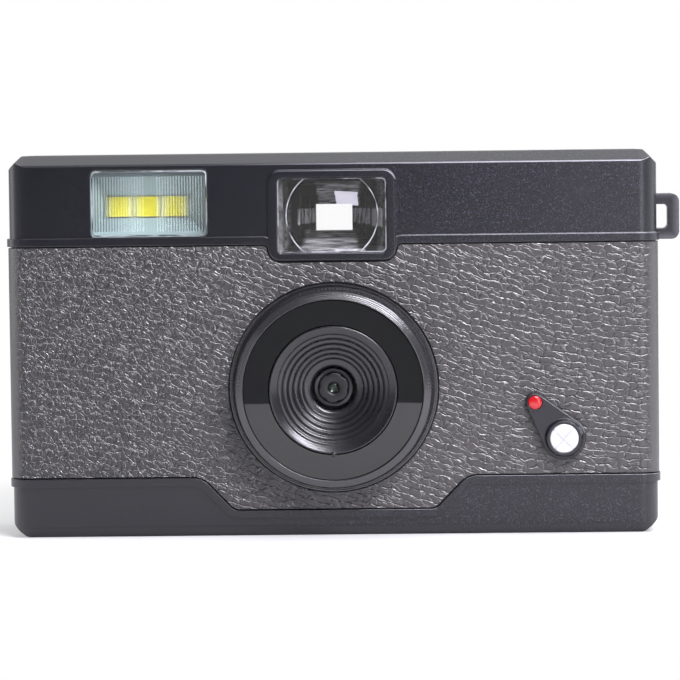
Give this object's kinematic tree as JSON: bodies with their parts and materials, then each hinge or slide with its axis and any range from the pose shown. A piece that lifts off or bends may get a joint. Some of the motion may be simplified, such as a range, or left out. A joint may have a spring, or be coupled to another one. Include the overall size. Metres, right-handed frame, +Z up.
{
  "type": "screenless digital camera",
  "caption": "Flat digital camera without a screen: leatherette body between two plastic covers, wide lens ring, optical finder, lamp flash, front lever and strap lug.",
  "frame": {"origin": "mouth of the tripod bush, in the flat base and in the middle of the body's width and depth", "axes": "+X to the right as seen from the front, +Y to the back (the lens looks along -Y), +Z up"},
  "size_m": [0.1159, 0.0325, 0.066],
  "materials": {
    "cover_plastic": "satin, fine grain",
    "inner_shell": "matt black",
    "leatherette": "pebbled, semi-gloss",
    "lug_metal": "satin black",
    "clear_window": "polished",
    "reflector": "pale satin",
    "lamp_chip": "phosphor yellow",
    "board": "solder mask green",
    "tunnel_black": "matt black",
    "ring_metal": "black anodised",
    "gloss_black": "polished black",
    "cone_black": "satin black",
    "barrel_black": "matt black",
    "lens_glass": "coated, green tint",
    "chip_black": "moulded epoxy",
    "lever_grey": "satin dark grey",
    "silver": "brushed",
    "red": "glossy red",
    "steel": "bright",
    "black_steel": "blackened",
    "washer": "nylon",
    "button_metal": "satin silver",
    "ribbon": "amber film",
    "display": "grey-green panel",
    "battery_foil": "foil pouch",
    "foam": "foam",
    "card_black": "moulded",
    "brass": "machined"
  },
  "bodies": {
    "camera_body": {"top_cover": "cover_plastic", "bottom_cover": "cover_plastic", "front_shell": "inner_shell", "rear_shell": "inner_shell", "front_leather": "leatherette", "rear_leather": "leatherette", "strap_lug": "lug_metal", "finder_front_lens": "clear_window", "finder_tube": "tunnel_black", "eyepiece_frame": "tunnel_black", "eyepiece_lens": "clear_window", "flash_window": "clear_window", "flash_reflector": "reflector", "flash_leds": "lamp_chip", "flash_board": "board", "lens_flange": "ring_metal", "lens_ring": "ring_metal", "lens_trim_plate": "gloss_black", "lens_cone": "cone_black", "lens_barrel": "barrel_black", "front_lens": "lens_glass", "lens_holder": "chip_black", "ir_filter": "lens_glass", "image_sensor": "chip_black", "main_board": "board", "processor": "chip_black", "memory_chip": "chip_black", "battery": "battery_foil", "battery_cushion": "foam", "usb_socket": "steel", "card_socket": "steel", "control_board": "board", "shutter_switch": "chip_black", "shutter_spring": "steel", "power_switch": "chip_black", "rear_board": "board", "counter_window": "clear_window", "counter_display": "display", "flash_slide_switch": "chip_black", "board_ribbon": "ribbon", "lever_washer": "washer", "lever_switch": "chip_black", "tripod_bush": "brass", "bottom_screws": "black_steel", "top_screws": "steel", "shell_screws": "steel", "board_screws": "steel", "small_screws": "steel"},
    "shutter_button": {"shutter_button": "button_metal"},
    "power_button": {"power_button": "button_metal"},
    "flash_switch": {"flash_switch_knob": "cover_plastic"},
    "lever": {"timer_lever": "lever_grey", "lever_dot": "red", "lever_cap": "silver", "lever_shaft": "steel"},
    "memory_card": {"memory_card": "card_black"}
  },
  "joints": [
    {"name": "shutter_press", "type": "slide", "parent": "camera_body", "child": "shutter_button", "axis": [0, 0, -1], "range_m": [0, 0.0009], "stiffness_N_per_m": 800, "springref_m": -0.0005, "deforming": ["shutter_spring"]},
    {"name": "power_press", "type": "slide", "parent": "camera_body", "child": "power_button", "axis": [0, -1, 0], "range_m": [0, 0.0006], "stiffness_N_per_m": 1000, "springref_m": -0.0005},
    {"name": "flash_switch_slide", "type": "slide", "parent": "camera_body", "child": "flash_switch", "axis": [1, 0, 0], "range_m": [0, 0.004]},
    {"name": "lever_turn", "type": "hinge", "parent": "camera_body", "child": "lever", "pos_m": [0.03944, -0.0128, 0.01672], "axis": [0, 1, 0], "range_deg": [0, 90]},
    {"name": "card_slide", "type": "slide", "parent": "camera_body", "child": "memory_card", "axis": [0, 0, -1], "range_m": [0, 0.0125]}
  ]
}
